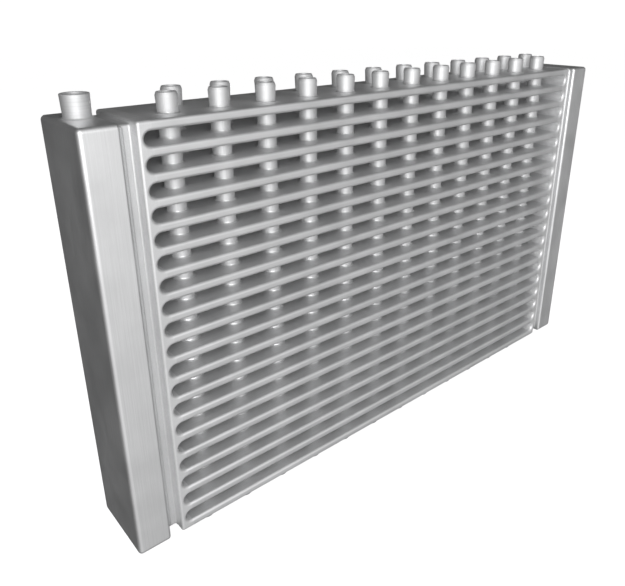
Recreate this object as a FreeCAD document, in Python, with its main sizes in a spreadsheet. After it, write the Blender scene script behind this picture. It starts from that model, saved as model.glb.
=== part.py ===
"""Liquid cooling radiator: two end tanks and a brazed aluminium tube core.

Coolant enters the left tank through the inlet port, crosses the core inside the flat
tubes and leaves the right tank through the outlet port. Air passes through the gaps
between the flat tubes. Round cross tubes run down through the whole stack.

Frame: origin at the bottom centre of the whole part, +X along the flat tubes from the
inlet tank to the outlet tank, +Y towards the rear, +Z up. Millimetres.
"""
import FreeCAD, Part
import os
import Sketcher

DIMENSIONS = [
    ("plate_count", 20, "flat tubes in the stack"),
    ("plate_thickness", 2.9, "height of one flat tube"),
    ("plate_gap", 4.3, "air gap between two flat tubes"),
    ("plate_depth", 27.8, "front to back of the core"),
    ("plate_wall", 0.45, "wall of a flat tube"),
    ("nose_radius", 0.95, "rounding of the flat tubes' long edges"),
    ("core_length", 212.6, "outer face to outer face of the header plates"),
    ("header_web", 1.9, "thinnest wall of a header plate, behind an air gap"),
    ("header_edge", 0.85, "rounding round a header plate's outer face"),
    ("tongue_depth", 18.4, "front to back of the reduced tube end in its socket"),
    ("tongue_thickness", 1.9, "height of the reduced tube end"),
    ("tank_width", 11.3, "tank size along X"),
    ("tank_depth", 28.4, "tank size along Y"),
    ("tank_wall", 1.6, "wall of the tank shell and its cover"),
    ("tank_edge", 1.4, "rounding of the tank's outer edges"),
    ("tank_inner_edge", 0.9, "rounding of the tank's edges towards the core"),
    ("neck_length", 4.3, "gap between the core and a tank"),
    ("neck_depth", 20.2, "neck duct size along Y"),
    ("neck_margin", 1.0, "how far the neck duct stops short of the core's top and bottom"),
    ("neck_wall", 0.8, "wall of the neck duct"),
    ("neck_edge", 0.9, "rounding of the neck duct's long edges"),
    ("row_count", 12, "cross tubes in one row"),
    ("tube_pitch", 16.8, "spacing of the cross tubes in a row"),
    ("front_first", -92.9, "X of the first cross tube in the front row"),
    ("row_stagger", 7.0, "how far the rear row is shifted towards +X"),
    ("row_offset", 5.4, "each row's distance from the middle of the core"),
    ("tube_radius", 3.0, "cross tube outside radius"),
    ("tube_bore", 2.45, "cross tube inside radius"),
    ("tube_tip_radius", 3.2, "cross tube outside radius where its ends are widest"),
    ("tube_mouth_radius", 2.85, "cross tube outside radius at its tapered mouths"),
    ("tube_lead", 0.9, "length of the taper at each end of a cross tube"),
    ("tube_rim", 0.15, "rounding of the cross tube's rims"),
    ("tube_rise", 5.8, "how far the cross tubes stand above the core"),
    ("foot", 5.9, "how far the cross tubes and the outlet reach below the core"),
    ("inlet_height", 6.5, "length of the inlet port outside the tank"),
    ("port_inset", 0.75, "distance of the ports from the middle of the tank towards the core"),
    ("port_y", 2.1, "distance of the ports behind the middle of the tank"),
    ("port_base_radius", 3.75, "port outside radius at the tank"),
    ("port_tip_radius", 3.95, "port outside radius at its mouth"),
    ("port_bore", 3.2, "port inside radius"),
    ("port_spigot", 3.7, "radius of the port's spigot in the tank wall"),
    ("port_foot_radius", 4.55, "radius of the port's round foot"),
    ("port_seat", 0.4, "depth of the port's seat in the tank"),
    ("port_fillet", 0.75, "fillet between the port and its foot"),
    ("port_rim", 0.25, "rounding of the port's rim"),
]

CORE_HEIGHT = ("(Dimensions.plate_count * Dimensions.plate_thickness"
               " + (Dimensions.plate_count - 1) * Dimensions.plate_gap)")
HALF_HEIGHT = f"{CORE_HEIGHT} / 2"
HALF_CORE = "Dimensions.core_length / 2"
STACK_PITCH = "(Dimensions.plate_thickness + Dimensions.plate_gap)"
HEADER_THICKNESS = "(Dimensions.header_web + Dimensions.plate_gap / 2)"
HEADER_INNER = f"({HALF_CORE} - {HEADER_THICKNESS})"
TANK_INNER = f"({HALF_CORE} + Dimensions.neck_length)"
TANK_OUTER = f"({TANK_INNER} + Dimensions.tank_width)"
NECK_HALF_HEIGHT = f"({HALF_HEIGHT} - Dimensions.neck_margin)"
PORT_X = f"({TANK_OUTER} - Dimensions.tank_width / 2 - Dimensions.port_inset)"
FRONT_ROW = "(-1 * Dimensions.row_offset)"
REAR_ROW = "Dimensions.row_offset"

document = FreeCAD.newDocument("radiator")


def make_sheet():
    """Put every driving dimension in the spreadsheet, one aliased cell each."""
    spreadsheet = document.addObject("Spreadsheet::Sheet", "Dimensions")
    for row, (alias, number, meaning) in enumerate(DIMENSIONS, start=1):
        spreadsheet.set(f"A{row}", alias)
        spreadsheet.set(f"B{row}", str(number))
        spreadsheet.set(f"C{row}", meaning)
        spreadsheet.setAlias(f"B{row}", alias)
    document.recompute()
    return spreadsheet


sheet = make_sheet()


def dimension(alias):
    """Expression for one cell of the sheet."""
    return f"Dimensions.{alias}"


def measure(expression):
    """Present value of an expression, in millimetres."""
    return float(sheet.evalExpression(expression))


# ---------------------------------------------------------------- helpers

def new_body(label):
    body = document.addObject("PartDesign::Body", label)
    body.Label = label
    return body


def origin_feature(body, role):
    for feature in body.Origin.OriginFeatures:
        if feature.Role == role:
            return feature
    raise ValueError(f"no origin feature {role}")


def new_sketch(body, name, role, offset=None):
    """Sketch on one of the body's own origin planes, moved along its normal by offset."""
    sketch = body.newObject("Sketcher::SketchObject", f"{body.Name}_{name}")
    sketch.AttachmentSupport = [(origin_feature(body, role), "")]
    sketch.MapMode = "FlatFace"
    if offset is not None:
        sketch.setExpression("AttachmentOffset.Base.z", offset)
    return sketch


def fix_point(sketch, geometry, point, x, y):
    """Bind one point's coordinates to two expressions."""
    for axis, expression in (("X", x), ("Y", y)):
        name = f"{axis.lower()}_{geometry}"
        constraint = Sketcher.Constraint(f"Distance{axis}", -1, 1, geometry, point, measure(expression))
        index = sketch.addConstraint(constraint)
        sketch.renameConstraint(index, name)
        sketch.setExpression(f"Constraints.{name}", expression)


def draw_outline(sketch, corners):
    """Closed outline of straight lines through corners given as pairs of expressions."""
    places = [FreeCAD.Vector(measure(x), measure(y), 0) for x, y in corners]
    count = len(corners)
    for start in range(count):
        end = (start + 1) % count
        sketch.addGeometry(Part.LineSegment(places[start], places[end]), False)
    for line in range(count):
        sketch.addConstraint(Sketcher.Constraint("Coincident", line, 2, (line + 1) % count, 1))
    for line, (x, y) in enumerate(corners):
        fix_point(sketch, line, 1, x, y)


def draw_rectangle(sketch, low_x, high_x, low_y, high_y):
    draw_outline(sketch, [(low_x, low_y), (high_x, low_y), (high_x, high_y), (low_x, high_y)])


def draw_circle(sketch, x, y, radius):
    centre = FreeCAD.Vector(measure(x), measure(y), 0)
    circle = sketch.addGeometry(Part.Circle(centre, FreeCAD.Vector(0, 0, 1), measure(radius)), False)
    fix_point(sketch, circle, 3, x, y)
    name = f"radius_{circle}"
    index = sketch.addConstraint(Sketcher.Constraint("Radius", circle, measure(radius)))
    sketch.renameConstraint(index, name)
    sketch.setExpression(f"Constraints.{name}", radius)


def volume(body):
    document.recompute()
    return body.Tip.Shape.Volume if body.Tip is not None else 0.0


def add_feature(body, kind, name, sketch):
    feature = body.newObject(f"PartDesign::{kind}", f"{body.Name}_{name}")
    feature.Profile = (sketch, [""])
    return feature


def extrude(body, kind, name, sketch, length, symmetric=False, reverse=False):
    """Pad or Pocket; checks that it really adds or removes material."""
    before = volume(body)
    feature = add_feature(body, kind, name, sketch)
    if symmetric:
        feature.SideType = "Symmetric"
    feature.Reversed = reverse
    feature.setExpression("Length", length)
    gained = volume(body) - before
    if (kind == "Pad") != (gained > 0) or abs(gained) < 1e-6:
        raise RuntimeError(f"{feature.Name} changes the volume by {gained:.3f}")
    return feature


def repeat(body, name, features, role, spacing, count):
    """Linear pattern of features along one of the body's axes."""
    pattern = body.newObject("PartDesign::LinearPattern", f"{body.Name}_{name}")
    pattern.Originals = features
    pattern.Direction = (origin_feature(body, role), [""])
    pattern.Mode = "Spacing"
    pattern.setExpression("Offset", spacing)
    pattern.setExpression("Occurrences", count)
    body.Tip = pattern
    document.recompute()
    return pattern


def round_edges(body, name, radius, chosen):
    """Fillet the edges of the body's tip that the chosen function accepts."""
    base = body.Tip
    names = [f"Edge{number}" for number, edge in enumerate(base.Shape.Edges, start=1) if chosen(edge)]
    if not names:
        raise RuntimeError(f"{body.Name} has no edges for {name}")
    fillet = body.newObject("PartDesign::Fillet", f"{body.Name}_{name}")
    fillet.Base = (base, names)
    fillet.setExpression("Radius", radius)
    document.recompute()
    return fillet


def near(value, target):
    return abs(value - target) < 1e-4


def lies_along(edge, axis):
    """True for a straight edge parallel to axis 0, 1 or 2."""
    if edge.Curve.TypeId != "Part::GeomLine":
        return False
    return near(abs(edge.Curve.Direction[axis]), 1.0)


def lies_in_plane(edge, axis, height):
    box = edge.BoundBox
    low = (box.XMin, box.YMin, box.ZMin)[axis]
    high = (box.XMax, box.YMax, box.ZMax)[axis]
    return near(low, height) and near(high, height)


def is_circle(edge, radius):
    return edge.Curve.TypeId == "Part::GeomCircle" and near(edge.Curve.Radius, radius)


# ---------------------------------------------------------------- core

def make_flat_tube(number):
    """Hollow flat tube with reduced ends, holed for every cross tube."""
    body = new_body(f"flat_tube_{number:02d}")
    half_thickness = f"{dimension('plate_thickness')} / 2"
    half_depth = f"{dimension('plate_depth')} / 2"
    wall = dimension("plate_wall")

    section = new_sketch(body, "section", "YZ_Plane")
    draw_rectangle(section, f"-{half_depth}", half_depth, f"-{half_thickness}", half_thickness)
    extrude(body, "Pad", "tube", section, f"2 * {HEADER_INNER}", symmetric=True)
    round_edges(body, "nose", dimension("nose_radius"), lambda edge: lies_along(edge, 0))

    half_tongue = f"{dimension('tongue_depth')} / 2"
    tongue_rise = f"{dimension('tongue_thickness')} / 2"
    tongue = new_sketch(body, "tongue", "YZ_Plane")
    draw_rectangle(tongue, f"-{half_tongue}", half_tongue, f"-{tongue_rise}", tongue_rise)
    extrude(body, "Pad", "ends", tongue, dimension("core_length"), symmetric=True)

    passage = new_sketch(body, "passage", "YZ_Plane")
    draw_rectangle(passage, f"-({half_tongue} - {wall})", f"{half_tongue} - {wall}",
                   f"-({tongue_rise} - {wall})", f"{tongue_rise} - {wall}")
    extrude(body, "Pocket", "passage", passage, dimension("core_length"), symmetric=True)

    chamber = new_sketch(body, "chamber", "YZ_Plane")
    chamber_y = f"({half_depth} - {dimension('nose_radius')})"
    draw_rectangle(chamber, f"-{chamber_y}", chamber_y,
                   f"-({half_thickness} - {wall})", f"{half_thickness} - {wall}")
    extrude(body, "Pocket", "chamber", chamber, f"2 * ({HEADER_INNER} - {wall})", symmetric=True)

    holes = new_sketch(body, "holes", "XY_Plane")
    draw_circle(holes, dimension("front_first"), FRONT_ROW, dimension("tube_radius"))
    draw_circle(holes, f"{dimension('front_first')} + {dimension('row_stagger')}",
                REAR_ROW, dimension("tube_radius"))
    pair = extrude(body, "Pocket", "holes", holes, dimension("plate_thickness"), symmetric=True)
    repeat(body, "hole_rows", [pair], "X_Axis", dimension("tube_pitch"), dimension("row_count"))

    level = f"{dimension('foot')} + {half_thickness} + {number - 1} * {STACK_PITCH}"
    body.setExpression("Placement.Base.z", level)
    return body


def make_cross_tube(row, number):
    """Round tube through the whole stack, slightly belled, with a tapered mouth at both ends."""
    body = new_body(f"{row}_cross_tube_{number:02d}")
    bore = dimension("tube_bore")
    mouth = dimension("tube_mouth_radius")
    tip = dimension("tube_tip_radius")
    side = dimension("tube_radius")
    lead = dimension("tube_lead")
    core_top = f"({dimension('foot')} + {CORE_HEIGHT})"
    top = f"({core_top} + {dimension('tube_rise')})"
    lowest = "0 * Dimensions.foot"

    profile = new_sketch(body, "profile", "XZ_Plane")
    draw_outline(profile, [(bore, lowest), (mouth, lowest), (tip, lead), (side, dimension("foot")),
                           (side, core_top), (tip, f"{top} - {lead}"), (mouth, top), (bore, top)])
    turned = add_feature(body, "Revolution", "tube", profile)
    turned.ReferenceAxis = (profile, ["V_Axis"])
    turned.Angle = 360
    document.recompute()
    round_edges(body, "rims", dimension("tube_rim"),
                lambda edge: is_circle(edge, measure(mouth)) or is_circle(edge, measure(tip)))

    along = f"{dimension('front_first')} + {number - 1} * {dimension('tube_pitch')}"
    if row == "rear":
        body.setExpression("Placement.Base.x", f"{along} + {dimension('row_stagger')}")
        body.setExpression("Placement.Base.y", REAR_ROW)
    else:
        body.setExpression("Placement.Base.x", along)
        body.setExpression("Placement.Base.y", FRONT_ROW)
    return body


# ---------------------------------------------------------------- end pieces
# Each is drawn at the left end, about the middle of the core. The right end is the
# same piece turned half a turn about Y, which brings the port's seat to the bottom.

def place_end(body, side):
    if side == "right":
        body.Placement.Rotation = FreeCAD.Rotation(FreeCAD.Vector(0, 1, 0), 180)
    body.setExpression("Placement.Base.z", f"{dimension('foot')} + {HALF_HEIGHT}")


def make_header_plate(side):
    """Comb-like plate that the flat tubes end in, hollowed round at each air gap."""
    body = new_body(f"{side}_header_plate")
    half_gap = f"{dimension('plate_gap')} / 2"
    outline = new_sketch(body, "outline", "XZ_Plane")
    draw_rectangle(outline, f"-{HALF_CORE}", f"-{HEADER_INNER}", f"-{HALF_HEIGHT}", HALF_HEIGHT)
    extrude(body, "Pad", "block", outline, dimension("plate_depth"), symmetric=True)
    round_edges(body, "long_edges", dimension("nose_radius"), lambda edge: lies_along(edge, 0))
    outer_face = -measure(HALF_CORE)
    round_edges(body, "outer_face_edges", dimension("header_edge"),
                lambda edge: lies_in_plane(edge, 0, outer_face))

    first_gap = f"-{HALF_HEIGHT} + {dimension('plate_thickness')} + {half_gap}"
    notch = new_sketch(body, "notch", "XZ_Plane")
    draw_circle(notch, f"-{HEADER_INNER}", first_gap, half_gap)
    cut = extrude(body, "Pocket", "notch", notch, dimension("plate_depth"), symmetric=True)
    repeat(body, "notches", [cut], "Z_Axis", STACK_PITCH, f"{dimension('plate_count')} - 1")
    half_depth = measure(f"{dimension('plate_depth')} / 2")
    notch_radius = measure(half_gap)

    def is_notch_rim(edge):
        if not is_circle(edge, notch_radius):
            return False
        return lies_in_plane(edge, 1, half_depth) or lies_in_plane(edge, 1, -half_depth)

    round_edges(body, "notch_rims", dimension("nose_radius"), is_notch_rim)

    half_tongue = f"{dimension('tongue_depth')} / 2"
    lowest_tube = f"-{HALF_HEIGHT} + {dimension('plate_thickness')} / 2"
    tongue_rise = f"{dimension('tongue_thickness')} / 2"
    socket = new_sketch(body, "socket", "YZ_Plane", f"-{HALF_CORE}")
    draw_rectangle(socket, f"-{half_tongue}", half_tongue,
                   f"{lowest_tube} - {tongue_rise}", f"{lowest_tube} + {tongue_rise}")
    opening = extrude(body, "Pocket", "socket", socket, HEADER_THICKNESS, reverse=True)
    repeat(body, "sockets", [opening], "Z_Axis", STACK_PITCH, dimension("plate_count"))
    place_end(body, side)
    return body


def make_neck_duct(side):
    """Rectangular duct between the header plate and the tank."""
    body = new_body(f"{side}_neck_duct")
    half_depth = f"{dimension('neck_depth')} / 2"
    wall = dimension("neck_wall")
    outline = new_sketch(body, "outline", "YZ_Plane", f"-{TANK_INNER}")
    draw_rectangle(outline, f"-{half_depth}", half_depth, f"-{NECK_HALF_HEIGHT}", NECK_HALF_HEIGHT)
    extrude(body, "Pad", "duct", outline, dimension("neck_length"))
    round_edges(body, "long_edges", dimension("neck_edge"), lambda edge: lies_along(edge, 0))
    hollow = new_sketch(body, "hollow", "YZ_Plane", f"-{TANK_INNER}")
    draw_rectangle(hollow, f"-({half_depth} - {wall})", f"{half_depth} - {wall}",
                   f"-({NECK_HALF_HEIGHT} - {wall})", f"{NECK_HALF_HEIGHT} - {wall}")
    extrude(body, "Pocket", "hollow", hollow, dimension("neck_length"), reverse=True)
    place_end(body, side)
    return body


def make_tank_shell(side):
    """Drawn tank, open towards the core, with a round seat and hole for its port."""
    body = new_body(f"{side}_tank_shell")
    half_depth = f"{dimension('tank_depth')} / 2"
    wall = dimension("tank_wall")
    outline = new_sketch(body, "outline", "XY_Plane")
    draw_rectangle(outline, f"-{TANK_OUTER}", f"-{TANK_INNER}", f"-{half_depth}", half_depth)
    extrude(body, "Pad", "block", outline, CORE_HEIGHT, symmetric=True)
    inner_face = -measure(TANK_INNER)
    round_edges(body, "outer_edges", dimension("tank_edge"),
                lambda edge: not lies_in_plane(edge, 0, inner_face))
    round_edges(body, "inner_edges", dimension("tank_inner_edge"),
                lambda edge: lies_in_plane(edge, 0, inner_face))

    cavity = new_sketch(body, "cavity", "YZ_Plane", f"-{TANK_INNER}")
    draw_rectangle(cavity, f"-({half_depth} - {wall})", f"{half_depth} - {wall}",
                   f"-({HALF_HEIGHT} - {wall})", f"{HALF_HEIGHT} - {wall}")
    extrude(body, "Pocket", "cavity", cavity, f"{dimension('tank_width')} - {wall}")

    seat = new_sketch(body, "seat", "XY_Plane", HALF_HEIGHT)
    draw_circle(seat, f"-{PORT_X}", dimension("port_y"), dimension("port_foot_radius"))
    extrude(body, "Pocket", "seat", seat, dimension("port_seat"))
    hole = new_sketch(body, "hole", "XY_Plane", HALF_HEIGHT)
    draw_circle(hole, f"-{PORT_X}", dimension("port_y"), dimension("port_spigot"))
    extrude(body, "Pocket", "hole", hole, wall)
    place_end(body, side)
    return body


def make_tank_cover(side):
    """Plate that closes the tank towards the core, with the opening for the neck duct."""
    body = new_body(f"{side}_tank_cover")
    wall = dimension("tank_wall")
    cover_y = f"({dimension('tank_depth')} / 2 - {wall})"
    cover_z = f"({HALF_HEIGHT} - {wall})"
    outline = new_sketch(body, "outline", "YZ_Plane", f"-{TANK_INNER}")
    draw_rectangle(outline, f"-{cover_y}", cover_y, f"-{cover_z}", cover_z)
    extrude(body, "Pad", "plate", outline, wall, reverse=True)
    opening_y = f"({dimension('neck_depth')} / 2 - {dimension('neck_wall')})"
    opening_z = f"({cover_z} - {wall})"
    opening = new_sketch(body, "opening", "YZ_Plane", f"-{TANK_INNER}")
    draw_rectangle(opening, f"-{opening_y}", opening_y, f"-{opening_z}", opening_z)
    extrude(body, "Pocket", "opening", opening, wall)
    place_end(body, side)
    return body


def make_port(label, side):
    """Short hose port: a round foot in the tank's seat and a slightly flared tube.

    The left one, the inlet, is longer; the right one ends level with the cross tubes.
    """
    body = new_body(label)
    bore = dimension("port_bore")
    base_radius = dimension("port_base_radius")
    tip_radius = dimension("port_tip_radius")
    foot_radius = dimension("port_foot_radius")
    spigot = dimension("port_spigot")
    tank_top = HALF_HEIGHT
    inside = f"({HALF_HEIGHT} - {dimension('tank_wall')})"
    seat = f"({HALF_HEIGHT} - {dimension('port_seat')})"
    height = dimension("inlet_height") if side == "left" else dimension("foot")
    mouth = f"({HALF_HEIGHT} + {height})"

    profile = new_sketch(body, "profile", "XZ_Plane")
    draw_outline(profile, [(bore, inside), (spigot, inside), (spigot, seat), (foot_radius, seat),
                           (foot_radius, tank_top), (base_radius, tank_top),
                           (tip_radius, mouth), (bore, mouth)])
    turned = add_feature(body, "Revolution", "tube", profile)
    turned.ReferenceAxis = (profile, ["V_Axis"])
    turned.Angle = 360
    document.recompute()
    round_edges(body, "root", dimension("port_fillet"),
                lambda edge: is_circle(edge, measure(base_radius)))
    mouth_height = measure(mouth)
    round_edges(body, "rim", dimension("port_rim"),
                lambda edge: lies_in_plane(edge, 2, mouth_height))

    middle = f"{dimension('foot')} + {HALF_HEIGHT}"
    if side == "right":
        body.Placement.Rotation = FreeCAD.Rotation(FreeCAD.Vector(0, 1, 0), 180)
        body.setExpression("Placement.Base.x", PORT_X)
    else:
        body.setExpression("Placement.Base.x", f"-{PORT_X}")
    body.setExpression("Placement.Base.y", dimension("port_y"))
    body.setExpression("Placement.Base.z", middle)
    return body


# ---------------------------------------------------------------- assembly

def make_radiator():
    pieces = []
    for number in range(1, int(measure(dimension("plate_count"))) + 1):
        pieces.append(make_flat_tube(number))
    for row in ("front", "rear"):
        for number in range(1, int(measure(dimension("row_count"))) + 1):
            pieces.append(make_cross_tube(row, number))
    for side in ("left", "right"):
        pieces.append(make_header_plate(side))
        pieces.append(make_neck_duct(side))
        pieces.append(make_tank_cover(side))
        pieces.append(make_tank_shell(side))
    pieces.append(make_port("inlet_port", "left"))
    pieces.append(make_port("outlet_port", "right"))
    return pieces


def check(pieces):
    """Stop if any object failed or any piece isn't one valid solid."""
    for item in document.Objects:
        if "Invalid" in item.State or "Error" in item.State:
            raise RuntimeError(f"{item.Name} failed: {item.State}")
    for piece in pieces:
        shape = piece.Shape
        if shape.isNull() or not shape.isValid() or len(shape.Solids) != 1:
            raise RuntimeError(f"{piece.Label} is not one valid solid")


def export(pieces):
    os.makedirs("parts", exist_ok=True)
    for piece in pieces:
        piece.Shape.exportStep(f"parts/{piece.Label}.step")


radiator = make_radiator()
document.recompute()
check(radiator)
export(radiator)
total = sum(piece.Shape.Volume for piece in radiator)
print(f"{len(radiator)} pieces, {total / 1000:.1f} cm3 of metal")
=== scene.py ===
"""Liquid cooling radiator: finishes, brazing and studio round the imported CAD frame."""
import math
import random

import bpy
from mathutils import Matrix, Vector


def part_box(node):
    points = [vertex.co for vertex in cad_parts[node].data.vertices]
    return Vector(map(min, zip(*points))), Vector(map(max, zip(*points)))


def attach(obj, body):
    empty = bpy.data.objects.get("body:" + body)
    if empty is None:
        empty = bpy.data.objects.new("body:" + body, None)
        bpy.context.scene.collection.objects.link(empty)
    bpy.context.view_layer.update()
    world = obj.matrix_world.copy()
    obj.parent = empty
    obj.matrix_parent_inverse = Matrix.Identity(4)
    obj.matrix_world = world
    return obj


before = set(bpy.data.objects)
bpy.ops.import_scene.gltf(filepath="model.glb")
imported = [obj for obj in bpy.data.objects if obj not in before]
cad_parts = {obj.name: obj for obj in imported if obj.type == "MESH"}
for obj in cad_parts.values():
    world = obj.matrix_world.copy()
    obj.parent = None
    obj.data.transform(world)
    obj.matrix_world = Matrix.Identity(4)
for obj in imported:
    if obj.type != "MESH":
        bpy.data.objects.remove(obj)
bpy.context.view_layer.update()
scene = bpy.context.scene
MM = 0.001

PLATES = [f"flat_tube_{number:02d}" for number in range(1, 21)]
ROWS = [f"{row}_cross_tube_{number:02d}" for row in ("front", "rear") for number in range(1, 13)]
SIDES = (("left", -1), ("right", 1))
PORTS = ("inlet_port", "outlet_port")


def centre_of(node):
    low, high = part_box(node)
    return (Vector(low) + Vector(high)) / 2


# ---------------------------------------------------------------- shader helpers

class Graph:
    """Short way to add and link the nodes of one tree."""

    def __init__(self, tree):
        self.tree = tree
        tree.nodes.clear()

    def node(self, kind, **settings):
        made = self.tree.nodes.new(kind)
        for name, setting in settings.items():
            setattr(made, name, setting)
        return made

    def link(self, source, target):
        self.tree.links.new(source, target)

    def feed(self, socket, value):
        if isinstance(value, bpy.types.NodeSocket):
            self.link(value, socket)
        else:
            socket.default_value = value

    def math(self, operation, first, second, clamp=False):
        made = self.node("ShaderNodeMath", operation=operation, use_clamp=clamp)
        self.feed(made.inputs[0], first)
        self.feed(made.inputs[1], second)
        return made.outputs[0]

    def vector(self, operation, first, second=(0, 0, 0)):
        made = self.node("ShaderNodeVectorMath", operation=operation)
        self.feed(made.inputs[0], first)
        self.feed(made.inputs[1], second)
        return made.outputs["Value"] if operation in ("DOT_PRODUCT", "LENGTH") else made.outputs["Vector"]

    def scaled(self, coordinates, scale):
        made = self.node("ShaderNodeMapping")
        self.feed(made.inputs["Vector"], coordinates)
        made.inputs["Scale"].default_value = scale
        return made.outputs["Vector"]

    def noise(self, coordinates, detail=3.0, roughness=0.55, scale=1.0):
        made = self.node("ShaderNodeTexNoise")
        self.feed(made.inputs["Vector"], coordinates)
        made.inputs["Scale"].default_value = scale
        made.inputs["Detail"].default_value = detail
        made.inputs["Roughness"].default_value = roughness
        return made.outputs["Fac"]

    def remap(self, value, span, low=0.0, high=1.0, smooth=False):
        """Maps the span's two ends to low and high."""
        made = self.node("ShaderNodeMapRange", interpolation_type="SMOOTHSTEP" if smooth else "LINEAR")
        self.feed(made.inputs["Value"], value)
        made.inputs["From Min"].default_value, made.inputs["From Max"].default_value = span
        made.inputs["To Min"].default_value = low
        made.inputs["To Max"].default_value = high
        return made.outputs["Result"]

    def mix_colour(self, factor, first, second):
        made = self.node("ShaderNodeMix", data_type="RGBA")
        self.feed(made.inputs["Factor"], factor)
        self.feed(made.inputs["A"], first)
        self.feed(made.inputs["B"], second)
        return made.outputs["Result"]

    def bump(self, height, strength, depth, normal=None):
        """Bump with its greatest depth in millimetres, on top of an earlier one if given."""
        made = self.node("ShaderNodeBump")
        made.inputs["Strength"].default_value = strength
        made.inputs["Distance"].default_value = depth * MM
        self.feed(made.inputs["Height"], height)
        if normal is not None:
            self.feed(made.inputs["Normal"], normal)
        return made.outputs["Normal"]

    def millimetres(self):
        """The object's own coordinates in millimetres."""
        place = self.node("ShaderNodeTexCoord").outputs["Object"]
        return self.scaled(place, (1 / MM,) * 3)

    def finish(self, tone, gloss, normal, metallic):
        """Ends the tree in a Principled shader."""
        shader = self.node("ShaderNodeBsdfPrincipled")
        shader.inputs["Metallic"].default_value = metallic
        self.feed(shader.inputs["Base Color"], tone)
        self.feed(shader.inputs["Roughness"], gloss)
        self.feed(shader.inputs["Normal"], normal)
        output = self.node("ShaderNodeOutputMaterial")
        self.link(shader.outputs[0], output.inputs["Surface"])


def new_material(name):
    """A material and the graph of its empty node tree."""
    material = bpy.data.materials.new(name)
    material.use_nodes = True
    return material, Graph(material.node_tree)


COOL_TINT = (1.0, 1.004, 1.01)


def grey(level):
    """A grey that leans a little to blue, as aluminium does."""
    return (*(level * part for part in COOL_TINT), 1.0)


# ---------------------------------------------------------------- satin aluminium

# Spans of noise values
MOST_NOISE = (0.3, 0.7)
MARK_SPAN = (0.36, 0.64)
WEAR_SPAN = (0.35, 0.65)

# How fine each pattern is
CLOUDS_PER_MM = 0.07
GRAINS_PER_MM = 5.0
BROAD_SHARE = 0.22
TURNED_DRIFT = 0.02

# Where an edge is worn, and where a crevice is darkened by dirt and painted shade
NODE_SAMPLES = 4
EDGE_RADIUS = 0.7
EDGE_COSINES = (0.995, 0.86)
OPEN_TO_HIDDEN = (0.8, 0.3)
CREVICE_REACH = 2.6
CORE_REACH = 9.0

# Shades, as shares of the finish's own grey
CLOUD_SHADES = (0.94, 1.03)
MARK_SHADE = 0.86
WORN_SHADE = 1.16
# Tone of the crevice darkening: partly dirt, partly painted shade
DIRT_AND_SHADE_TONE = 0.52
BRIGHTEST = 0.93
MARK_COVER = 0.5
WORN_COVER = 0.55
# Share of the crevice darkening, dirt and painted shade, left in the fainter patches
FAINTEST_DIRT_AND_SHADE_SHARE = 0.6

# What each pattern adds to the roughness
MARK_GLOSS = 0.07
CLOUD_GLOSS = (-0.04, 0.05)
WORN_GLOSS = 0.08
# Roughness added where crevices are darkened by dirt and painted shade
DIRT_AND_SHADE_GLOSS = 0.2


def turned_coordinates(graph, millimetres, centre):
    """Coordinates in which the marks run round the upright axis through centre."""
    from_axis = graph.vector("MULTIPLY", graph.vector("SUBTRACT", millimetres, centre), (1, 1, 0))
    split = graph.node("ShaderNodeSeparateXYZ")
    graph.feed(split.inputs[0], millimetres)
    joined = graph.node("ShaderNodeCombineXYZ")
    graph.feed(joined.inputs["X"], graph.vector("LENGTH", from_axis))
    graph.feed(joined.inputs["Z"], split.outputs["Z"])
    drift = graph.scaled(from_axis, (TURNED_DRIFT, TURNED_DRIFT, 0))
    return graph.vector("ADD", joined.outputs[0], drift)


def edge_wear(graph, cloud):
    """High along edges, more in some patches than in others."""
    bevel = graph.node("ShaderNodeBevel", samples=NODE_SAMPLES)
    bevel.inputs["Radius"].default_value = EDGE_RADIUS * MM
    true_normal = graph.node("ShaderNodeNewGeometry").outputs["Normal"]
    flatness = graph.vector("DOT_PRODUCT", bevel.outputs["Normal"], true_normal)
    patches = graph.remap(cloud, WEAR_SPAN, 0.3, 1.0)
    return graph.math("MULTIPLY", graph.remap(flatness, EDGE_COSINES), patches, clamp=True)


# Crevice darkening from ambient occlusion: partly dirt, partly painted shade
def crevice_dirt_and_shade(graph, cloud, dust_and_shade, reach):
    """Dirt and painted shade: high where other surfaces within reach, in millimetres, close a place in."""
    crevice = graph.node("ShaderNodeAmbientOcclusion", samples=NODE_SAMPLES)
    crevice.inputs["Distance"].default_value = reach * MM
    hidden = graph.remap(crevice.outputs["AO"], OPEN_TO_HIDDEN)
    patches = graph.remap(cloud, MOST_NOISE, dust_and_shade * FAINTEST_DIRT_AND_SHADE_SHARE, dust_and_shade)
    return graph.math("MULTIPLY", hidden, patches, clamp=True)


# The crevice darkening of this finish is partly dirt, partly painted shade
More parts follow.
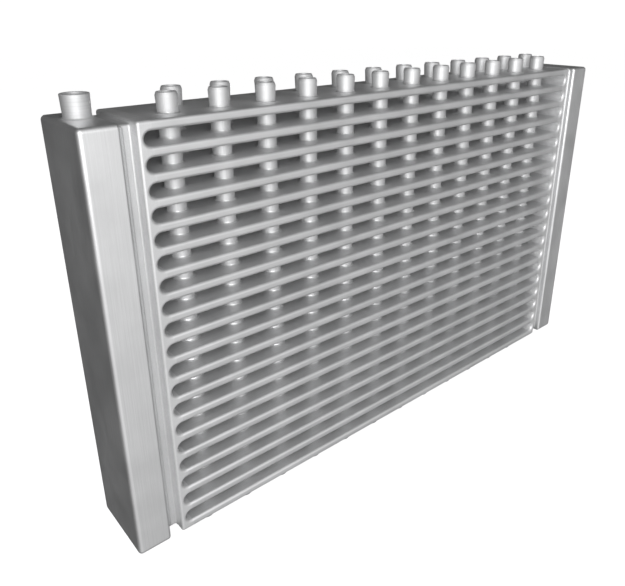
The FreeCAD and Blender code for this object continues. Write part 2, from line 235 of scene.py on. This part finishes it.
def aluminium(name, level, roughness, grain, streaks=1.0, centre=None, dust_and_shade=0.5, reach=CREVICE_REACH,
              metallic=0.68):
    """Satin aluminium. grain stretches the tool marks: per axis, how many of them fit in a millimetre.

    With a centre, the marks run round the upright axis through it, as turning leaves them.
    """
    material, graph = new_material(name)
    millimetres = graph.millimetres()
    marks_at = millimetres if centre is None else turned_coordinates(graph, millimetres, centre)
    marks = graph.noise(graph.scaled(marks_at, grain), detail=5.0, roughness=0.62)
    broad_grain = tuple(count * BROAD_SHARE for count in grain)
    broad = graph.noise(graph.scaled(marks_at, broad_grain), detail=2.0)
    cloud = graph.noise(graph.scaled(millimetres, (CLOUDS_PER_MM,) * 3), detail=3.0, roughness=0.5)
    grit = graph.noise(graph.scaled(millimetres, (GRAINS_PER_MM,) * 3), detail=2.0)
    worn = edge_wear(graph, cloud)
    # Mask of the crevice darkening: partly dirt, partly painted shade
    dirt_and_shade = crevice_dirt_and_shade(graph, cloud, dust_and_shade, reach)

    dark, light = (grey(level * shade) for shade in CLOUD_SHADES)
    tone = graph.mix_colour(graph.remap(cloud, MOST_NOISE), dark, light)
    marked = graph.remap(marks, MARK_SPAN, 0.0, MARK_COVER * streaks)
    tone = graph.mix_colour(marked, tone, grey(level * MARK_SHADE))
    polished = graph.math("MULTIPLY", worn, WORN_COVER)
    tone = graph.mix_colour(polished, tone, grey(min(BRIGHTEST, level * WORN_SHADE)))
    # Darker colour in crevices: partly dirt, partly painted shade
    tone = graph.mix_colour(dirt_and_shade, tone, grey(level * DIRT_AND_SHADE_TONE))

    swing = MARK_GLOSS * streaks
    gloss = graph.remap(marks, MOST_NOISE, roughness - swing, roughness + swing)
    gloss = graph.math("ADD", gloss, graph.remap(cloud, MOST_NOISE, *CLOUD_GLOSS))
    gloss = graph.math("SUBTRACT", gloss, graph.math("MULTIPLY", worn, WORN_GLOSS))
    gloss = graph.math("ADD", gloss, graph.math("MULTIPLY", dirt_and_shade, DIRT_AND_SHADE_GLOSS), clamp=True)

    normal = graph.bump(broad, strength=0.22 * streaks, depth=0.05)
    normal = graph.bump(marks, strength=0.35 * streaks, depth=0.02, normal=normal)
    normal = graph.bump(grit, strength=0.25, depth=0.01, normal=normal)
    graph.finish(tone, gloss, normal, metallic)
    return material


# ---------------------------------------------------------------- brazing filler

FLUX_SPAN = (0.5, 0.68)
FILLER_LEVEL = 0.80
FLUX_LEVEL = 0.66
FILLER_ROUGHNESS = 0.40
FLUX_ROUGHNESS = 0.56


def braze_metal():
    """Filler metal: solidified from a melt, so smooth and slightly rippled, with dull flux patches."""
    material, graph = new_material("braze_filler")
    millimetres = graph.millimetres()
    ripple = graph.noise(millimetres, detail=2.0, scale=1.4)
    patches = graph.noise(millimetres, detail=3.0, scale=0.35)
    flux = graph.remap(patches, FLUX_SPAN, smooth=True)
    tone = graph.mix_colour(flux, grey(FILLER_LEVEL), grey(FLUX_LEVEL))
    gloss = graph.remap(flux, (0.0, 1.0), FILLER_ROUGHNESS, FLUX_ROUGHNESS)
    normal = graph.bump(ripple, strength=0.5, depth=0.06)
    graph.finish(tone, gloss, normal, metallic=0.72)
    return material


# ---------------------------------------------------------------- finishes on the CAD pieces

# The crevice darkening set on each finish is partly dirt, partly painted shade
tank_finish = aluminium("tank_satin", level=0.91, roughness=0.42, grain=(3.2, 3.2, 0.05),
                        streaks=1.5, dust_and_shade=0.8, metallic=0.82)
header_finish = aluminium("header_satin", level=0.80, roughness=0.53, grain=(2.2, 0.5, 2.2),
                          streaks=0.8, dust_and_shade=0.15)
# Darker copy of the header finish with strong crevice darkening: painted shade on the neck in the recess
# between tank and core
neck_shaded_finish = aluminium("neck_shaded_satin", level=0.72, roughness=0.54, grain=(2.2, 0.5, 2.2),
                        streaks=0.8, dust_and_shade=0.95)
plate_finish = aluminium("flat_tube_satin", level=0.84, roughness=0.51, grain=(0.04, 3.0, 3.0),
                         reach=CORE_REACH, metallic=0.84)
tube_finish = aluminium("cross_tube_satin", level=0.73, roughness=0.58, grain=(3.6, 3.6, 0.08), streaks=0.8)
braze_finish = braze_metal()


def turned_finish(port):
    """Aluminium turned round the port's own axis."""
    axis = centre_of(port) / MM
    return aluminium(f"{port}_turned", level=0.73, roughness=0.58, grain=(2.6, 2.6, 2.6),
                     centre=(axis.x, axis.y, 0))


def paint(node, material):
    for material_slot in bpy.data.objects[node].material_slots:
        material_slot.material = material


for plate in PLATES:
    paint(plate, plate_finish)
for tube in ROWS:
    paint(tube, tube_finish)
for side, _ in SIDES:
    paint(f"{side}_tank_shell", tank_finish)
    paint(f"{side}_tank_cover", tank_finish)
    paint(f"{side}_header_plate", header_finish)
    # The neck duct gets the darker copy with painted shade
    paint(f"{side}_neck_duct", neck_shaded_finish)
for port in PORTS:
    paint(port, turned_finish(port))


# ---------------------------------------------------------------- fillet shapes

ARC_STEPS = 5
SINK = 0.06 * MM
RING_STEPS = 28
WAVE_COUNTS = (1, 2, 3, 5)
WAVE_SPREAD = (0.4, 1.0)


class Shape:
    """Collects the vertices and faces of one piece."""

    def __init__(self):
        self.points = []
        self.faces = []
        self.smooth = []

    def fillet_loop(self, sections, reverse):
        """Joins equal fillet sections, each to the next and the last to the first.

        Only the concave face is shaded smooth; the two flanks sit inside the walls.
        """
        first = len(self.points)
        size = len(sections[0])
        for section in sections:
            self.points.extend(section)
        for step in range(len(sections)):
            here = first + step * size
            there = first + (step + 1) % len(sections) * size
            for corner in range(size):
                following = (corner + 1) % size
                face = (here + corner, there + corner, there + following, here + following)
                self.faces.append(face[::-1] if reverse else face)
                self.smooth.append(2 <= corner < 2 + ARC_STEPS)

    def build(self, name, finish):
        mesh = bpy.data.meshes.new(name)
        mesh.from_pydata(self.points, [], self.faces)
        mesh.polygons.foreach_set("use_smooth", self.smooth)
        mesh.materials.append(finish)
        mesh.update()
        piece = bpy.data.objects.new(name, mesh)
        scene.collection.objects.link(piece)
        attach(piece, "root")


def fillet_profile(size):
    """Concave corner fillet as pairs (out, up), sunk a little into both walls."""
    profile = [(-SINK, -SINK), (size, -SINK)]
    for step in range(ARC_STEPS + 1):
        angle = math.pi / 2 * step / ARC_STEPS
        profile.append((size - size * math.sin(angle), size - size * math.cos(angle)))
    profile.append((-SINK, size))
    return profile


def wobble(chance, amount):
    """A smooth closed variation round a ring, as a function of the angle."""
    waves = [(count, chance.uniform(0, 2 * math.pi), amount * chance.uniform(*WAVE_SPREAD) / count)
             for count in WAVE_COUNTS]
    return lambda angle: 1 + sum(height * math.sin(count * angle + phase) for count, phase, height in waves)


# ---------------------------------------------------------------- brazing round the cross tubes

TUBE_RADIUS = 3.0 * MM
BRAZE_SIZE = 0.6 * MM
BRAZE_SPREAD = (0.85, 1.15)
RING_WOBBLE = 0.16
BRAZING_SEED = 12


def ring_fillet(shape, centre, height, up, size, chance):
    """Fillet round an upright cross tube where it meets a level face; up is 1 above the face, -1 below."""
    vary = wobble(chance, RING_WOBBLE)
    sections = []
    for step in range(RING_STEPS):
        angle = 2 * math.pi * step / RING_STEPS
        section = []
        for out, rise in fillet_profile(size * vary(angle)):
            reach = TUBE_RADIUS + out
            section.append((centre.x + reach * math.cos(angle), centre.y + reach * math.sin(angle),
                            height + up * rise))
        sections.append(section)
    shape.fillet_loop(sections, up < 0)


tube_middles = [centre_of(tube) for tube in ROWS]
chance = random.Random(BRAZING_SEED)
for number, plate in enumerate(PLATES, start=1):
    low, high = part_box(plate)
    rings = Shape()
    for middle in tube_middles:
        for height, up in ((high[2], 1), (low[2], -1)):
            ring_fillet(rings, middle, height, up, BRAZE_SIZE * chance.uniform(*BRAZE_SPREAD), chance)
    rings.build(f"cross_tube_brazing_{number:02d}", braze_finish)


# ---------------------------------------------------------------- brazing round the necks

NECK_CORNER = 0.9 * MM
CORNER_STEPS = 5
TRACK_SPACING = 2.5 * MM
NECK_WOBBLE = 0.08
HEADER_FILLET = 0.8 * MM
TANK_FILLET = 2.0 * MM
END_FILLET = 0.7 * MM


def rounded_rectangle(half_y, half_z, middle_z):
    """Points and outward directions round the neck's outline, in the plane across X."""
    track = []
    arcs = ((1, 1, 0), (-1, 1, 90), (-1, -1, 180), (1, -1, 270))
    for index, (sign_y, sign_z, start) in enumerate(arcs):
        centre_y = sign_y * (half_y - NECK_CORNER)
        centre_z = sign_z * (half_z - NECK_CORNER)
        for step in range(CORNER_STEPS + 1):
            angle = math.radians(start + 90 * step / CORNER_STEPS)
            out = (math.cos(angle), math.sin(angle))
            track.append((centre_y + NECK_CORNER * out[0], middle_z + centre_z + NECK_CORNER * out[1], out))
        next_y, next_z, next_start = arcs[(index + 1) % len(arcs)]
        angle = math.radians(next_start)
        out = (math.cos(angle), math.sin(angle))
        goal_y = next_y * (half_y - NECK_CORNER) + NECK_CORNER * out[0]
        goal_z = middle_z + next_z * (half_z - NECK_CORNER) + NECK_CORNER * out[1]
        from_y, from_z, _ = track[-1]
        length = math.hypot(goal_y - from_y, goal_z - from_z)
        count = max(1, int(length / TRACK_SPACING))
        for step in range(1, count):
            share = step / count
            track.append((from_y + (goal_y - from_y) * share, from_z + (goal_z - from_z) * share, out))
    return track


def neck_fillet(shape, track, wall_x, away, size, chance):
    """Fillet round the neck duct where it meets an upright wall; away points off the wall along X.

    It is size deep in front and behind, and END_FILLET on top and underneath, where the wall is lower.
    """
    vary = wobble(chance, NECK_WOBBLE)
    count = len(track)
    sections = []
    for index, (y, z, out) in enumerate(track):
        here = END_FILLET + (size - END_FILLET) * out[0] ** 2
        here *= vary(2 * math.pi * index / count)
        section = [(wall_x + away * rise, y + out[0] * reach, z + out[1] * reach)
                   for reach, rise in fillet_profile(here)]
        sections.append(section)
    shape.fillet_loop(sections, away < 0)


for side, sign in SIDES:
    neck_low, neck_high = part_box(f"{side}_neck_duct")
    middle = centre_of(f"{side}_neck_duct")
    track = rounded_rectangle((neck_high[1] - neck_low[1]) / 2, (neck_high[2] - neck_low[2]) / 2, middle.z)
    header_x, tank_x = sorted((neck_low[0], neck_high[0]), key=abs)
    seams = Shape()
    neck_fillet(seams, track, header_x, sign, HEADER_FILLET, chance)
    neck_fillet(seams, track, tank_x, -sign, TANK_FILLET, chance)
    # The neck fillets get the same darker finish with painted shade
    seams.build(f"{side}_neck_brazing", neck_shaded_finish)


# ---------------------------------------------------------------- camera

# Azimuth and pitch in degrees, the place in metres from the middle of the tanks
CAMERA_AZIMUTH = 40.545
CAMERA_PITCH = 21.863
CAMERA_PLACE = (-0.17376, -0.17023, 0.09868)
LENS = 35.93
SENSOR_WIDTH = 36.0
SHIFT_X = -0.0281
SHIFT_Y = -0.0652
NEAREST = 0.01
FARTHEST = 50.0


def make_camera():
    data = bpy.data.cameras.new("camera")
    data.sensor_width = SENSOR_WIDTH
    data.lens = LENS
    data.shift_x = SHIFT_X
    data.shift_y = SHIFT_Y
    data.clip_start = NEAREST
    data.clip_end = FARTHEST
    made = bpy.data.objects.new("camera", data)
    scene.collection.objects.link(made)
    made.location = Vector(CAMERA_PLACE) + Vector((0, 0, centre_of("left_tank_shell").z))
    made.rotation_euler = (math.radians(90 - CAMERA_PITCH), 0, math.radians(-CAMERA_AZIMUTH))
    scene.camera = made
    return made


camera = make_camera()


# ---------------------------------------------------------------- floor

# Radius and height of the floor's rings, in metres
STAGE_RINGS = ((0.0, 0.0), (1.0, 0.0), (2.5, 0.0), (3.2, 0.06), (3.7, 0.3), (3.95, 0.8), (4.0, 1.6), (4.0, 3.0))
STAGE_SIDES = 64
STAGE_DROP = 0.2 * MM
STAGE_GREY = 0.28
STAGE_ROUGHNESS = 0.9
STAGE_GLOW = 0.92


def make_stage():
    """Round pale floor that curves up into a low wall far behind the object."""
    points, faces = [], []
    for radius, height in STAGE_RINGS:
        for step in range(STAGE_SIDES):
            angle = 2 * math.pi * step / STAGE_SIDES
            points.append((radius * math.cos(angle), radius * math.sin(angle), height - STAGE_DROP))
    for ring in range(len(STAGE_RINGS) - 1):
        inner = ring * STAGE_SIDES
        outer = inner + STAGE_SIDES
        for step in range(STAGE_SIDES):
            following = (step + 1) % STAGE_SIDES
            faces.append((inner + step, inner + following, outer + following, outer + step))
    mesh = bpy.data.meshes.new("stage")
    mesh.from_pydata(points, [], faces)
    mesh.polygons.foreach_set("use_smooth", [True] * len(mesh.polygons))
    mesh.update()
    stage = bpy.data.objects.new("stage", mesh)
    scene.collection.objects.link(stage)
    stage.visible_glossy = False
    stage.visible_diffuse = False
    stage.visible_shadow = False

    material, graph = new_material("stage_pale")
    shader = graph.node("ShaderNodeBsdfPrincipled")
    shader.inputs["Base Color"].default_value = (STAGE_GREY, STAGE_GREY, STAGE_GREY, 1)
    shader.inputs["Roughness"].default_value = STAGE_ROUGHNESS
    shader.inputs["Specular IOR Level"].default_value = 0.0
    shader.inputs["Emission Color"].default_value = (1, 1, 1, 1)
    shader.inputs["Emission Strength"].default_value = STAGE_GLOW
    output = graph.node("ShaderNodeOutputMaterial")
    graph.link(shader.outputs[0], output.inputs["Surface"])
    mesh.materials.append(material)


make_stage()


# ---------------------------------------------------------------- light

FRONT_TOWARDS = (-0.25, -0.95, 0.15)
FRONT_COSINES = (0.10, 0.85)
FRONT_STRENGTH = 0.90
BOUNCE_TOWARDS = (0.60, 0.60, -0.60)
BOUNCE_SHARPNESS = 6.0
BOUNCE_STRENGTH = 0.08
AMBIENT = 0.025

KEY_STRENGTH = 7.8
KEY_SIZE = 0.20
KEY_SETBACK = 0.03
FILL_STRENGTH = 18.0
FILL_SIZE = 0.30
FILL_PLACE = (0.42, 0.40, 0.05)
FILL_TARGET = (0, 0, 0.07)


def make_world():
    """Wide softbox in front with a soft edge, a weak bounce from behind and below, and a little ambient."""
    world = bpy.data.worlds.new("studio")
    scene.world = world
    world.use_nodes = True
    graph = Graph(world.node_tree)
    direction = graph.node("ShaderNodeTexCoord").outputs["Generated"]

    front_cosine = graph.vector("DOT_PRODUCT", direction, tuple(Vector(FRONT_TOWARDS).normalized()))
    front = graph.remap(front_cosine, FRONT_COSINES, 0.0, FRONT_STRENGTH, smooth=True)

    bounce_cosine = graph.vector("DOT_PRODUCT", direction, tuple(Vector(BOUNCE_TOWARDS).normalized()))
    nearness = graph.math("MULTIPLY", graph.math("ADD", bounce_cosine, 1.0), 0.5)
    bounce = graph.math("MULTIPLY", graph.math("POWER", nearness, BOUNCE_SHARPNESS), BOUNCE_STRENGTH)

    background = graph.node("ShaderNodeBackground")
    strength = graph.math("ADD", front, graph.math("ADD", bounce, AMBIENT))
    graph.feed(background.inputs["Strength"], strength)
    output = graph.node("ShaderNodeOutputWorld")
    graph.link(background.outputs[0], output.inputs["Surface"])


def soft_light(name, place, towards, strength, size):
    """Round softbox whose light doesn't fade with distance, as if it were large and far away."""
    data = bpy.data.lights.new(name, "AREA")
    data.shape = "DISK"
    data.size = size
    data.energy = 1.0
    data.use_nodes = True
    graph = Graph(data.node_tree)
    falloff = graph.node("ShaderNodeLightFalloff")
    falloff.inputs["Strength"].default_value = strength
    emission = graph.node("ShaderNodeEmission")
    graph.link(falloff.outputs["Constant"], emission.inputs["Strength"])
    graph.link(emission.outputs[0], graph.node("ShaderNodeOutputLight").inputs["Surface"])
    light = bpy.data.objects.new(name, data)
    scene.collection.objects.link(light)
    light.location = place
    light.rotation_euler = (Vector(place) - Vector(towards)).to_track_quat("Z", "Y").to_euler()
    light.visible_camera = False
    return light


make_world()
back = camera.rotation_euler.to_matrix() @ Vector((0, 0, 1))
key_place = camera.location + KEY_SETBACK * back
soft_light("soft_key", key_place, key_place - back, KEY_STRENGTH, KEY_SIZE)
rear_fill = soft_light("rear_fill", FILL_PLACE, FILL_TARGET, FILL_STRENGTH, FILL_SIZE)
rear_fill.visible_glossy = False

scene.view_settings.view_transform = "Standard"
